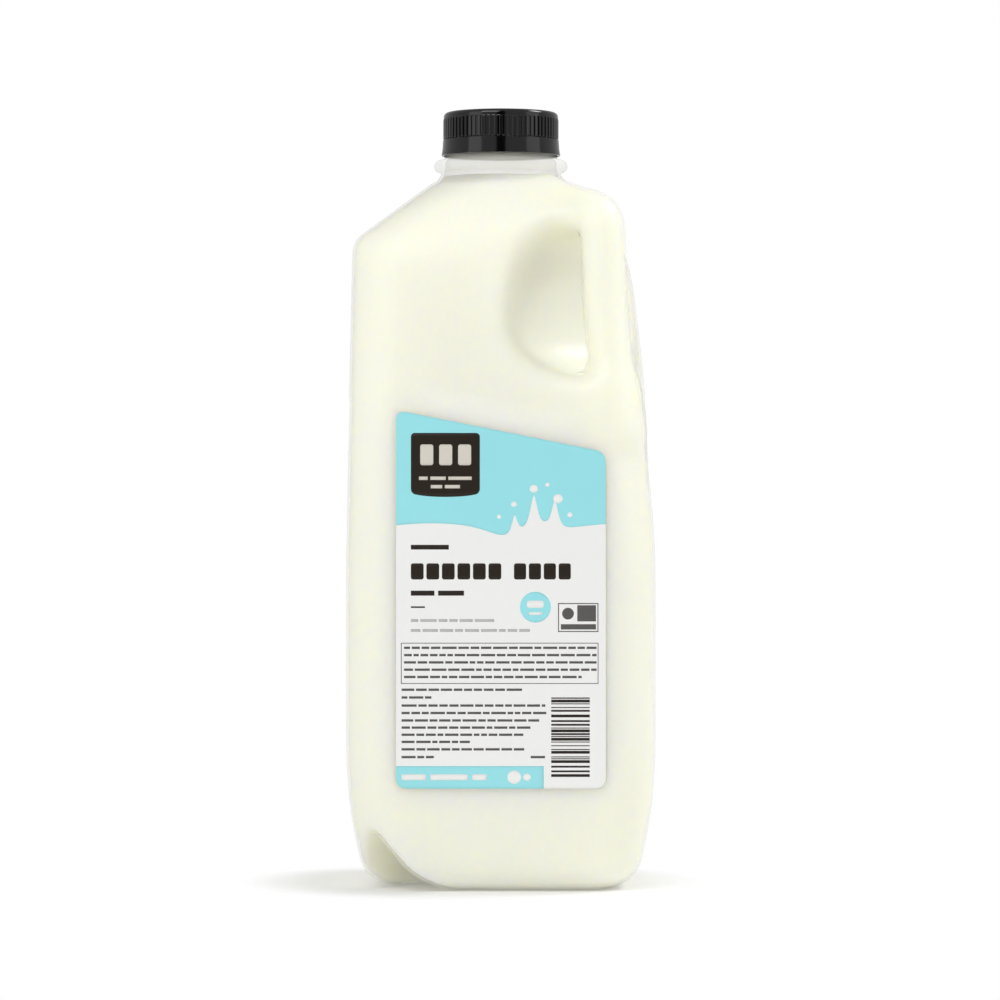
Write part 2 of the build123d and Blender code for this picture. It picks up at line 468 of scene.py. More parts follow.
def ring_points(angles: Array, radius: float, height: float) -> Array:
    """Points of a level ring round the axis, one at each angle."""
    level = np.full(len(angles), height)
    return np.stack([radius * np.cos(angles), radius * np.sin(angles), level], axis=1)


@dataclass
class Surface:
    """A mesh in the making: points in millimetres and faces as tuples of indices."""

    points: Array = field(default_factory=lambda: np.zeros((0, 3)))
    faces: list[tuple[int, ...]] = field(default_factory=list)

    def add(self, points: Array, faces: Sequence[Sequence[int]]) -> Array:
        """Adds points and faces, the faces numbered from the first added point.

        Returns:
            The indices of the added points.
        """
        first = len(self.points)
        self.points = np.vstack([self.points, points])
        self.faces.extend(tuple(int(index) + first for index in face) for face in faces)
        return np.arange(first, first + len(points))

    def bridge(self, low: Array, high: Array) -> None:
        """Joins two rings with as many points, low to high, faces outwards.

        Args:
            low: The point indices of the ring that comes first.
            high: Those of the next ring.
        """
        count = len(low)
        for index in range(count):
            after = (index + 1) % count
            self.faces.append((low[index], low[after], high[after], high[index]))

    def zip(self, low: Array, high: Array) -> None:
        """Joins two rings round the axis that differ in how many points they have.

        Args:
            low: The point indices of the ring that comes first.
            high: Those of the next ring.
        """
        angles = [np.arctan2(self.points[ring, 1], self.points[ring, 0]) for ring in (low, high)]
        full_turn = 2 * math.pi
        i, j = 0, 0
        while i < len(low) or j < len(high):
            next_low = angles[0][(i + 1) % len(low)] + full_turn * (i + 1 >= len(low))
            next_high = angles[1][(j + 1) % len(high)] + full_turn * (j + 1 >= len(high))
            a, b = low[i % len(low)], high[j % len(high)]
            if j >= len(high) or (i < len(low) and next_low <= next_high):
                self.faces.append((a, low[(i + 1) % len(low)], b))
                i += 1
            else:
                self.faces.append((a, high[(j + 1) % len(high)], b))
                j += 1

    def rings(self, start: Array, profile: Sequence[tuple[float, float]]) -> Array:
        """Turns a profile round the axis from an existing ring.

        Args:
            start: The ring's point indices, in order of angle.
            profile: The radius and height of each further ring.

        Returns:
            The indices of the last ring.
        """
        angles = np.arctan2(self.points[start, 1], self.points[start, 0])
        low = start
        for radius, height in profile:
            high = self.add(ring_points(angles, radius, height), [])
            self.bridge(low, high)
            low = high
        return low

    def cap_off(self, ring: Array, height: float) -> None:
        """Closes a ring with a fan to a point on the axis.

        Args:
            ring: The ring's point indices.
            height: Height of the point.
        """
        pole = self.add(np.array([[0.0, 0.0, height]]), [])[0]
        for index, start in enumerate(ring):
            self.faces.append((start, ring[(index + 1) % len(ring)], pole))

    def build(
        self, name: str, smooth: bool = True, sharp_angle: float | None = None
    ) -> bpy.types.Object:
        """Makes the object, in metres at the origin.

        Args:
            name: The object's name.
            smooth: Whether its faces are shaded smooth.
            sharp_angle: The angle in degrees from which its edges stay sharp.

        Returns:
            The object.
        """
        mesh = bpy.data.meshes.new(name)
        mesh.from_pydata((self.points * MM).tolist(), [], self.faces)
        mesh.validate()
        mesh.polygons.foreach_set("use_smooth", [smooth] * len(mesh.polygons))
        mesh.update()
        if sharp_angle is not None:
            mesh.set_sharp_from_angle(angle=math.radians(sharp_angle))
        piece = bpy.data.objects.new(name, mesh)
        bpy.context.scene.collection.objects.link(piece)
        return piece


def lathe_ring(surface: Surface, radius: float, height: float, count: int) -> Array:
    """Adds one level ring of points to a surface and gives their indices."""
    angles = -math.pi + (np.arange(count) + 0.5) * 2.0 * math.pi / count
    return surface.add(ring_points(angles, radius, height), [])


def turned(name: str, profile: Sequence[tuple[float, float]], count: int) -> bpy.types.Object:
    """A closed ring turned from a closed profile of radii and heights.

    Args:
        name: The piece's name.
        profile: The radius and height of each ring of points.
        count: How many points go round.

    Returns:
        The piece.
    """
    surface = Surface()
    first = lathe_ring(surface, *profile[0], count)
    last = surface.rings(first, profile[1:])
    surface.bridge(last, first)
    return surface.build(name, sharp_angle=24.0)


def stacked(name: str, sections: Sequence[tuple[Array, float]]) -> bpy.types.Object:
    """A closed part with flat shading, from plan sections at rising heights.

    Args:
        name: The piece's name.
        sections: Each section's outline and its height.

    Returns:
        The piece.
    """
    surface = Surface()
    rings = [
        surface.add(np.column_stack([plan, np.full(len(plan), height)]), [])
        for plan, height in sections
    ]
    for low, high in zip(rings, rings[1:]):
        surface.bridge(low, high)
    surface.faces.append(tuple(reversed(rings[0])))
    surface.faces.append(tuple(rings[-1]))
    return surface.build(name, smooth=False)


def arc(
    middle: tuple[float, float], radii: tuple[float, float], start: float, end: float, steps: int
) -> list[tuple[float, float]]:
    """Points of an elliptical arc in a profile, angles in degrees, both ends included.

    Args:
        middle: The radius and height of its middle.
        radii: How far it reaches out and up.
        start: The angle of its first point.
        end: The angle of its last point.
        steps: How many straight runs it has.

    Returns:
        The radius and height of each point.
    """
    turns = [math.radians(start + (end - start) * step / steps) for step in range(steps + 1)]
    return [
        (middle[0] + radii[0] * math.cos(turn), middle[1] + radii[1] * math.sin(turn))
        for turn in turns
    ]


def field_surface(distance: Field, half: float, top: float, cell: float) -> Surface:
    """The surface of a field, cut off level at a height where it is round.

    Args:
        distance: The field.
        half: How far the form reaches from the axis to each side.
        top: The height of the cut.
        cell: The mesh size.

    Returns:
        The open surface, whose rim is a level ring at the cut.
    """
    low = np.array([-half - 2 * cell, -half - 2 * cell, -2.5 * cell])
    high = np.array([half + 2 * cell, half + 2 * cell, top + 3 * cell])
    counts = np.ceil((high - low) / cell).astype(int) + 1
    axes = [low[axis] + np.arange(counts[axis]) * cell for axis in range(3)]
    values = np.empty(counts, dtype=np.float32)
    for index, x in enumerate(axes[0]):
        y, z = np.meshgrid(axes[1], axes[2], indexing="ij")
        slab = np.stack([np.full(y.size, x), y.ravel(), z.ravel()], axis=1)
        values[index] = distance(slab).reshape(y.shape)
    grid = openvdb.FloatGrid(10.0)
    grid.copyFromArray(values)
    points, quads = grid.convertToQuads(0.0)
    points = np.asarray(points, dtype=float) * cell + low
    quads = np.asarray(quads)
    points = settle(distance, points, SETTLE_STEPS)

    kept = quads[(points[quads][:, :, 2] < top - 0.3 * cell).all(axis=1)]
    used = np.unique(kept)
    renumber = np.full(len(points), -1)
    renumber[used] = np.arange(len(used))
    kept = renumber[kept]
    points = points[used]
    edges = np.sort(np.concatenate([kept[:, [i, (i + 1) % 4]] for i in range(4)]), axis=1)
    pairs, uses = np.unique(edges, axis=0, return_counts=True)
    rim = np.unique(pairs[uses == 1])
    rim = rim[points[rim, 2] > top - 4 * cell]
    points[rim, 2] = top
    points[rim] = settle(distance, points[rim], SETTLE_STEPS, axes=(0, 1))
    return Surface(points, [tuple(int(index) for index in face) for face in kept])


def rim_ring(surface: Surface, top: float) -> Array:
    """The indices of a cut surface's rim, in order of angle.

    Args:
        surface: The surface.
        top: The height of the cut.

    Returns:
        The point indices.
    """
    rim = np.nonzero(np.abs(surface.points[:, 2] - top) < 1e-6)[0]
    angles = np.arctan2(surface.points[rim, 1], surface.points[rim, 0])
    return rim[np.argsort(angles)]


# --- Shader nodes -----------------------------------------------------------------------------


class Board:
    """A node tree that is filled one node at a time."""

    def __init__(self, tree: bpy.types.NodeTree) -> None:
        """Takes the tree to fill."""
        self.tree = tree

    def add(self, kind: str, inputs: dict | None = None, **settings: object) -> bpy.types.Node:
        """Adds a node.

        Args:
            kind: The node's type.
            inputs: Values or sockets for its inputs, by name or by number.
            settings: Its own settings.

        Returns:
            The node.
        """
        node = self.tree.nodes.new(kind)
        for key, value in settings.items():
            setattr(node, key, value)
        for key, value in (inputs or {}).items():
            if isinstance(value, bpy.types.NodeSocket):
                self.tree.links.new(value, node.inputs[key])
            else:
                node.inputs[key].default_value = value
        return node

    def math(self, operation: str, *values: object) -> bpy.types.NodeSocket:
        """Adds a Math node and gives its output."""
        inputs = dict(enumerate(values))
        return self.add("ShaderNodeMath", inputs, operation=operation).outputs[0]

    def mix(self, factor: object, a: object, b: object) -> bpy.types.NodeSocket:
        """Adds a colour Mix node and gives its output.

        Args:
            factor: The share of the second colour, as a value or a socket.
            a: The first colour, as a value or a socket.
            b: The second colour, as a value or a socket.

        Returns:
            The mixed colour's socket.
        """
        node = self.add("ShaderNodeMix", {"Factor": factor}, data_type="RGBA")
        for name, value in (("A", a), ("B", b)):
            socket = next(s for s in node.inputs if s.name == name and s.type == "RGBA")
            if isinstance(value, bpy.types.NodeSocket):
                self.tree.links.new(value, socket)
            else:
                socket.default_value = value
        return next(s for s in node.outputs if s.type == "RGBA")


def blank_board(owner: bpy.types.Material | bpy.types.World) -> Board:
    """Clears a material's or a world's nodes for filling.

    Args:
        owner: The material or world.

    Returns:
        The board of its tree.
    """
    owner.use_nodes = True
    board = Board(owner.node_tree)
    board.tree.nodes.clear()
    return board


def new_group(name: str, inputs: dict[str, float], outputs: Sequence[str]) -> tuple[Board, dict]:
    """Starts a shader node group whose sockets are all floats.

    Args:
        name: The group's name.
        inputs: Input names with their defaults.
        outputs: Output names.

    Returns:
        The board of the group's tree, and its input sockets by name.
    """
    tree = bpy.data.node_groups.new(name, "ShaderNodeTree")
    for key, value in inputs.items():
        socket = tree.interface.new_socket(key, in_out="INPUT", socket_type="NodeSocketFloat")
        socket.default_value = value
    for key in outputs:
        tree.interface.new_socket(key, in_out="OUTPUT", socket_type="NodeSocketFloat")
    board = Board(tree)
    start = board.add("NodeGroupInput")
    return board, {key: start.outputs[key] for key in inputs}


def moulded_surface() -> bpy.types.ShaderNodeTree:
    """The fine texture of moulded plastic: ripples in its height and cloudy patches.

    Returns:
        The shader node group.
    """
    board, given = new_group(
        "moulded_surface", {"Ripple Scale": 400.0, "Cloud Scale": 30.0}, ("Height", "Cloud")
    )
    place = board.add("ShaderNodeTexCoord").outputs["Object"]
    ripple = board.add(
        "ShaderNodeTexNoise", {"Vector": place, "Scale": given["Ripple Scale"], "Detail": 3.0}
    )
    cloud = board.add(
        "ShaderNodeTexNoise", {"Vector": place, "Scale": given["Cloud Scale"], "Detail": 2.0}
    )
    board.add(
        "NodeGroupOutput",
        {"Height": ripple.outputs["Fac"], "Cloud": cloud.outputs["Fac"]},
    )
    return board.tree


Colour = tuple[float, float, float]
WHITE = (1.0, 1.0, 1.0)
CLOUD_SPAN = (0.35, 0.65)
# How closely the painted shade along a finish's outline keeps to the grazing edge.
EDGE_SHADE_POWER = 5.0
BUMP_STRENGTH = 0.5


def rgba(colour: Colour) -> tuple[float, float, float, float]:
    """A colour with full opacity."""
    return (*colour, 1.0)


@dataclass(frozen=True)
class Finish:
    """A finish with two close tones, blended in soft clouds, and a fine ripple in its gloss.

    A see-through finish shades what is behind it by only a share of its opacity, as milky
    plastic passes most of the light on.
    """

    name: str
    tone: Colour
    second_tone: Colour
    roughness: float
    # Painted shade: a darker colour blended in towards the outline, where the surface turns away
    # from the view.
    edge_shade_tone: Colour | None = None
    opacity: float = 1.0
    shade_share: float = 1.0
    scatter: float = 0.0
    scatter_radius: Colour = (1.0, 1.0, 1.0)
    scatter_scale: float = 0.002
    specular: float = 0.5
    cloud_scale: float = 30.0
    ripple_scale: float = 400.0
    ripple_height: float = 0.02

    def alpha(self, board: Board) -> float | bpy.types.NodeSocket:
        """How opaque the finish is, as a value or as a socket on the material's board.

        Args:
            board: The material's board.

        Returns:
            The value or the socket.
        """
        if self.shade_share >= 1.0:
            return self.opacity
        shade = board.add("ShaderNodeLightPath").outputs["Is Shadow Ray"]
        lost = board.math("MULTIPLY", shade, self.opacity * (1.0 - self.shade_share))
        return board.math("SUBTRACT", self.opacity, lost)

    def material(self, surface: bpy.types.ShaderNodeTree) -> bpy.types.Material:
        """Makes the material from the shared surface texture.

        Args:
            surface: The node group of the texture.

        Returns:
            The material.
        """
        material = bpy.data.materials.new(self.name)
        board = blank_board(material)
        texture = board.add("ShaderNodeGroup", node_tree=surface)
        texture.inputs["Ripple Scale"].default_value = self.ripple_scale
        texture.inputs["Cloud Scale"].default_value = self.cloud_scale
        low, high = CLOUD_SPAN
        cloud = board.add(
            "ShaderNodeMapRange",
            {"Value": texture.outputs["Cloud"], "From Min": low, "From Max": high},
        ).outputs["Result"]
        colour = board.mix(cloud, rgba(self.tone), rgba(self.second_tone))
        # Painted shade: the colour darkens towards the edge tone where the surface turns away from
        # the view.
        if self.edge_shade_tone:
            facing = board.add("ShaderNodeLayerWeight", {"Blend": 0.5}).outputs["Facing"]
            edge = board.math("POWER", facing, EDGE_SHADE_POWER)
            colour = board.mix(edge, colour, rgba(self.edge_shade_tone))
        bump = board.add(
            "ShaderNodeBump",
            {
                "Height": texture.outputs["Height"],
                "Strength": BUMP_STRENGTH,
                "Distance": self.ripple_height * MM,
            },
        )
        shader = board.add(
            "ShaderNodeBsdfPrincipled",
            {
                "Base Color": colour,
                "Roughness": self.roughness,
                "Alpha": self.alpha(board),
                "Subsurface Weight": self.scatter,
                "Subsurface Radius": self.scatter_radius,
                "Subsurface Scale": self.scatter_scale,
                "Specular IOR Level": self.specular,
                "Normal": bump.outputs["Normal"],
            },
        )
        board.add("ShaderNodeOutputMaterial", {"Surface": shader.outputs["BSDF"]})
        return material


JUG_PLASTIC = Finish(
    "natural_polyethylene",
    tone=(0.95, 0.95, 0.89),
    second_tone=(0.945, 0.945, 0.88),
    # Painted shade: grey-olive towards the bottle's outline.
    edge_shade_tone=(0.58, 0.59, 0.53),
    roughness=0.34,
    opacity=0.24,
    shade_share=0.40,
    cloud_scale=22.0,
    ripple_scale=260.0,
    ripple_height=0.03,
)
MILK = Finish(
    "skimmed_milk",
    tone=(0.975, 0.97, 0.815),
    second_tone=(0.97, 0.965, 0.805),
    roughness=0.38,
    scatter=1.0,
    scatter_radius=(1.0, 0.9, 0.35),
    scatter_scale=0.016,
    ripple_height=0.0,
)
LABEL_FILM = Finish(
    "label_film",
    tone=(0.865, 0.865, 0.85),
    second_tone=(0.86, 0.86, 0.845),
    roughness=0.42,
    ripple_scale=900.0,
    ripple_height=0.008,
)
CAP_PLASTIC = Finish(
    "black_cap_plastic",
    tone=(0.0020, 0.0018, 0.0018),
    second_tone=(0.0026, 0.0024, 0.0024),
    roughness=0.11,
    specular=0.5,
    cloud_scale=120.0,
    ripple_scale=700.0,
    ripple_height=0.01,
)


INK_SHADE = 0.985


def ink(name: str, tone: Colour) -> Finish:
    """A printed ink of one tone on the label's film."""
    second = tuple(channel * INK_SHADE for channel in tone)
    return Finish(
        name, tone, second, roughness=0.42, specular=0.3, ripple_scale=900.0, ripple_height=0.008
    )


BLUE_INK = ink("pale_blue_ink", (0.318, 0.753, 0.805))
DARK_INK = ink("brown_black_ink", (0.016, 0.009, 0.004))
SOFT_BLACK_INK = ink("soft_black_ink", (0.10, 0.095, 0.09))
GREY_INK = ink("grey_ink", (0.50, 0.50, 0.485))
CREAM_INK = ink("cream_ink", (0.66, 0.62, 0.55))
WHITE_INK = ink("white_ink", (0.865, 0.865, 0.85))


def dress(piece: bpy.types.Object, material: bpy.types.Material) -> None:
    """Gives a piece its one material."""
    piece.data.materials.clear()
    piece.data.materials.append(material)


def fit(
    piece: bpy.types.Object, material: bpy.types.Material, node: Node, slot: Slot
) -> None:
    """Dresses a piece and rides it on the body, in place of its node.

    Args:
        piece: The piece.
        material: Its material.
        node: The node that it stands for.
        slot: The record's slot of its material. Not used.
    """
    dress(piece, material)
    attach(piece, BODY)
    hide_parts(node.value)
    log.info("%s: %d faces, stands for %s", piece.name, len(piece.data.polygons), node.value)


# --- The bottle and its milk ------------------------------------------------------------------


@dataclass
class Bottle:
    """The bottle's skin: a closed shell with its bead, finish and mouth."""

    form: BottleForm
    neck_cut: float = 235.3
    outer_cell: float = 1.4
    inner_cell: float = 1.9
    bead_low: float = 235.9
    bead_high: float = 240.2
    bead_radius: float = 22.2
    ledge_radius: float = 18.7
    ledge_height: float = 241.2
    finish_radius: float = 17.4
    mouth_radius: float = 16.0
    mouth_height: float = 253.6
    bore_radius: float = 18.5
    bead_steps: int = 14
    rim_steps: int = 4
    rim_round: float = 0.5
    mouth_round: float = 0.4
    ledge_round: float = 0.2
    bore_top_drop: float = 0.6
    bore_foot_rise: float = 1.6
    step_rise: float = 0.8

    def neck_outside(self) -> list[tuple[float, float]]:
        """The profile from under the bead up to the rim of the mouth.

        Returns:
            The radius and height of each point.
        """
        radius = self.form.neck_radius
        middle = (self.bead_low + self.bead_high) / 2
        stand_out = self.bead_radius - radius
        bead_radii = (stand_out, middle - self.bead_low)
        bead = arc((radius, middle), bead_radii, -90, 90, self.bead_steps)
        bend = self.rim_round
        rim_middle = (self.finish_radius - bend, self.mouth_height - bend)
        rim = arc(rim_middle, (bend, bend), 0, 90, self.rim_steps)
        return [
            *bead,
            (self.ledge_radius + self.ledge_round, self.bead_high),
            (self.ledge_radius, self.bead_high + self.ledge_round),
            (self.ledge_radius, self.ledge_height),
            (self.finish_radius, self.ledge_height),
            *rim,
        ]

    def neck_inside(self) -> list[tuple[float, float]]:
        """The profile from the rim of the mouth down to the inside of the neck's foot.

        Returns:
            The radius and height of each point.
        """
        bend = self.mouth_round
        rim_middle = (self.mouth_radius + bend, self.mouth_height - bend)
        rim = arc(rim_middle, (bend, bend), 90, 180, self.rim_steps)
        return [
            *rim,
            (self.mouth_radius, self.ledge_height + self.step_rise),
            (self.bore_radius, self.bead_high - self.bore_top_drop),
            (self.bore_radius, self.bead_low + self.bore_foot_rise),
        ]

    def build(self) -> bpy.types.Object:
        """Builds the shell's outside and inside and joins them over the mouth.

        Returns:
            The piece.
        """
        form = self.form
        skin = field_surface(form.distance, form.half_width, self.neck_cut, self.outer_cell)
        outer_rim = rim_ring(skin, self.neck_cut)
        lip = skin.rings(outer_rim, self.neck_outside())

        def inside(points: Array) -> Array:
            """Distance from the shell's inside."""
            return form.distance(points) + form.wall

        lining = field_surface(inside, form.half_width, self.neck_cut, self.inner_cell)
        turned_in = [tuple(reversed(face)) for face in lining.faces]
        first = skin.add(lining.points, turned_in)[0]
        inner_rim = rim_ring(lining, self.neck_cut) + first
        profile = self.neck_inside()
        angles = np.arctan2(skin.points[inner_rim, 1], skin.points[inner_rim, 0])
        mouth = skin.add(ring_points(angles, *profile[0]), [])
        skin.zip(lip, mouth)
        low = skin.rings(mouth, profile[1:])
        skin.bridge(low, inner_rim)
        return skin.build("bottle")


@dataclass
class MilkLoad:
    """The milk, which reaches just into the bottle's wall, up to its level in the neck."""

    form: BottleForm
    level: float
    bite: float = 0.3
    cell: float = 1.7
    meniscus: float = 0.5
    edge: tuple[tuple[float, float], ...] = ((0.4, 0.6), (1.2, 0.9), (3.0, 1.0))

    def build(self) -> bpy.types.Object:
        """Builds the milk with a slightly raised edge round its level surface.

        Returns:
            The piece.
        """

        def inside(points: Array) -> Array:
            """Distance from the milk's surface, which lies in the wall."""
            return self.form.distance(points) + self.form.wall - self.bite

        milk = field_surface(inside, self.form.half_width, self.level, self.cell)
        rim = rim_ring(milk, self.level)
        radius = float(np.hypot(*milk.points[rim[0], :2]))
        still = self.level - self.meniscus
        rings = [(radius - away, self.level - sink * self.meniscus) for away, sink in self.edge]
        rings.append((radius * 0.5, still))
        milk.cap_off(milk.rings(rim, rings), still)
        return milk.build("milk_load")


# --- The label --------------------------------------------------------------------------------

ROW_LENGTH = 1.2
COLUMN_WIDTH = 1.5


@dataclass
class LabelFilm:
    """The label: a film on the front panel, printed with plain fields, bars and discs.

    Places on it are (x, z) from the neck's axis and the ground.
    """

    form: BottleForm
    half_width: float
    low: float
    left_high: float
    right_high: float
    corner: float = 3.0
    thickness: float = 0.25
    ink_thickness: float = 0.03
    root_depth: float = 0.15
    grid: float = 0.5
    margin: float = 1.0
    search_out: float = 3.0
    search_in: float = 12.0
    search_steps: int = 22

    def __post_init__(self) -> None:
        """Finds the panel's surface on a fine grid, for every layer to lie on."""
        reach = self.half_width + self.margin
        self._x = np.arange(-reach, reach, self.grid)
        top = self.left_high + 2.0 * self.margin
        self._z = np.arange(self.low - self.margin, top, self.grid)
        x, z = np.meshgrid(self._x, self._z, indexing="ij")
        outside = np.full(x.size, -self.form.half_width - self.search_out)
        inside = np.full(x.size, -self.form.half_width + self.search_in)
        for _ in range(self.search_steps):
            middle = (outside + inside) / 2
            far = self.form.distance(np.stack([x.ravel(), middle, z.ravel()], axis=1)) > 0
            outside = np.where(far, middle, outside)
            inside = np.where(far, inside, middle)
        self._y = ((outside + inside) / 2).reshape(x.shape)

    def panel_y(self, x: Array, z: Array) -> Array:
        """Where the panel's surface is at places on the label.

        Args:
            x: Places to the right of the axis.
            z: Heights.

        Returns:
            The surface's y at each place.
        """
        column = np.clip((x - self._x[0]) / self.grid, 0, len(self._x) - 1.001)
        row = np.clip((z - self._z[0]) / self.grid, 0, len(self._z) - 1.001)
        i, j = column.astype(int), row.astype(int)
        a, b = column - i, row - j
        low = self._y[i, j] * (1 - a) + self._y[i + 1, j] * a
        high = self._y[i, j + 1] * (1 - a) + self._y[i + 1, j + 1] * a
        return low * (1 - b) + high * b

    def top_edge(self, x: Array) -> Array:
        """Height of the label's slanted top edge, with its rounded corners.

        Args:
            x: Places to the right of the axis.

        Returns:
            The heights.
        """
        share = (x + self.half_width) / (2 * self.half_width)
        edge = self.left_high + (self.right_high - self.left_high) * share
        return edge - self.corner_drop(x)

    def low_edge(self, x: Array) -> Array:
        """Height of the label's bottom edge, with its rounded corners."""
        return self.low + self.corner_drop(x)

    def corner_drop(self, x: Array) -> Array:
        """How far a rounded corner draws the top or bottom edge in."""
        into = np.clip(np.abs(x) - self.half_width + self.corner, 0.0, self.corner)
        return self.corner - np.sqrt(self.corner**2 - into**2)

    def patch(self, name: str, spans: Sequence[tuple[Array, Array, Array]], low: float,
              high: float, row: float) -> bpy.types.Object:
        """A thin closed layer on the panel, made of patches.

        Args:
            name: The piece's name.
            spans: For each patch its columns, and the low and high edge at each column.
            low: Height of the layer's underside over the panel's surface.
            high: Height of its top over the panel's surface.
            row: Length of its mesh rows.

        Returns:
            The piece.
        """
        surface = Surface()
        for columns, bottom, top in spans:
            rows = max(1, math.ceil(float((top - bottom).max()) / row))
            shares = np.linspace(0.0, 1.0, rows + 1)
            x = np.repeat(columns, rows + 1)
            z = (bottom[:, None] + (top - bottom)[:, None] * shares).ravel()
            y = self.panel_y(x, z)
            layers = [np.stack([x, y - lift, z], axis=1) for lift in (high, low)]
            count = len(x)
            faces: list[tuple[int, ...]] = []
            for i in range(len(columns) - 1):
                for j in range(rows):
                    a, b = i * (rows + 1) + j, (i + 1) * (rows + 1) + j
                    faces.append((a, b, b + 1, a + 1))
                    faces.append((a + 1 + count, b + 1 + count, b + count, a + count))
            loop = [i * (rows + 1) for i in range(len(columns))]
            loop += [(len(columns) - 1) * (rows + 1) + j for j in range(1, rows + 1)]
            loop += [i * (rows + 1) + rows for i in reversed(range(len(columns) - 1))]
            loop += list(reversed(range(1, rows)))
            for start, end in zip(loop, loop[1:] + loop[:1]):
                faces.append((end, start, start + count, end + count))
            surface.add(np.vstack(layers), faces)
        return surface.build(name)

    def film(self) -> bpy.types.Object:
        """The bare white film.

        Returns:
            The piece.
        """
        turns = np.linspace(0.0, math.pi / 2, 7)
        rounded = self.half_width - self.corner * (1.0 - np.sin(turns))
        inner = np.linspace(-self.half_width + self.corner, self.half_width - self.corner, 62)
        columns = np.concatenate([-rounded[::-1], inner[1:-1], rounded])
        span = (columns, self.low_edge(columns), self.top_edge(columns))
        return self.patch("label_film", [span], -self.root_depth, self.thickness, ROW_LENGTH)


def bar(x0: float, x1: float, z0: float, z1: float, radius: float = 0.0) -> tuple:
    """A bar on the label, with rounded corners if it has a radius.

    Args:
        x0: Its left end.
        x1: Its right end.
        z0: Its bottom.
        z1: Its top.
        radius: The corners' radius.

    Returns:
        Its columns, and its low and high edge at each.
    """
    if radius <= 0.0:
        columns = np.linspace(x0, x1, max(2, math.ceil((x1 - x0) / COLUMN_WIDTH) + 1))
        return columns, np.full(len(columns), z0), np.full(len(columns), z1)
    turns = np.linspace(0.0, math.pi / 2, 6)
    left = x0 + radius * (1.0 - np.cos(turns))
    count = max(3, math.ceil((x1 - x0) / COLUMN_WIDTH))
    inner = np.linspace(x0 + radius, x1 - radius, count)
    right = x1 - radius * (1.0 - np.sin(turns))
    columns = np.unique(np.round(np.concatenate([left, inner, right]), 6))
    into = np.clip(np.maximum(x0 + radius - columns, columns - x1 + radius), 0.0, radius)
    drop = radius - np.sqrt(radius**2 - into**2)
    return columns, z0 + drop, z1 - drop


def disc(x: float, z: float, radius: float) -> tuple:
    """A disc on the label."""
    return bar(x - radius, x + radius, z - radius, z + radius, radius)


